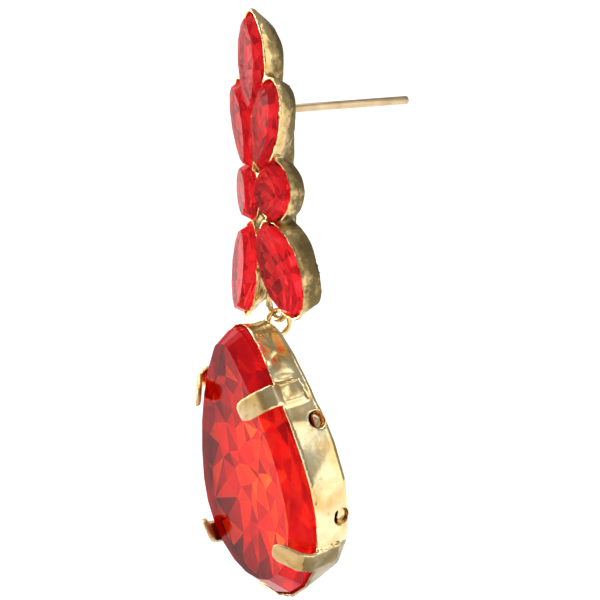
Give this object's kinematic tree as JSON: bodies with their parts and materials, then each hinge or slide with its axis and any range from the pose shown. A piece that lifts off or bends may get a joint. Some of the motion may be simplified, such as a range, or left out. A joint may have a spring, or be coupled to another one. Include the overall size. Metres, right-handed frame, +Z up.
{
  "type": "drop earring",
  "caption": "Drop earring: a cluster of faceted red stones in soldered gold cups on an ear post, with a large claw-set pear drop on a jump ring.",
  "frame": {"origin": "root of the ear post, on the middle line of the back of the cluster", "axes": "+Y along the post to the back, +Z up as worn, +X to the side that shows in the picture; the front faces -Y"},
  "size_m": [0.0195, 0.0207, 0.0531],
  "materials": {
    "cluster_gold": "hand-worked gilt brass",
    "ring_gold": "polished gilt brass wire",
    "drop_gold": "bright gilt brass sheet",
    "cluster_glass": "cut red glass, foiled back",
    "drop_glass": "cut red glass, foiled back"
  },
  "bodies": {
    "cluster": {"cluster_setting": "cluster_gold", "top_stone": "cluster_glass", "upper_right_stone": "cluster_glass", "upper_left_stone": "cluster_glass", "mid_right_stone": "cluster_glass", "mid_left_stone": "cluster_glass", "lower_right_stone": "cluster_glass", "lower_left_stone": "cluster_glass"},
    "link": {"jump_ring": "ring_gold"},
    "drop": {"drop_setting": "drop_gold", "drop_stone": "drop_glass"}
  },
  "joints": [
    {"name": "ring_sway", "type": "hinge", "parent": "cluster", "child": "link", "pos_m": [0.00161, -0.0019, -0.01557], "axis": [0, 1, 0], "range_deg": [-12, 8]},
    {"name": "drop_swing", "type": "hinge", "parent": "link", "child": "drop", "pos_m": [0.00161, -0.0019, -0.01867], "axis": [1, 0, 0], "range_deg": [-30, 30]}
  ]
}
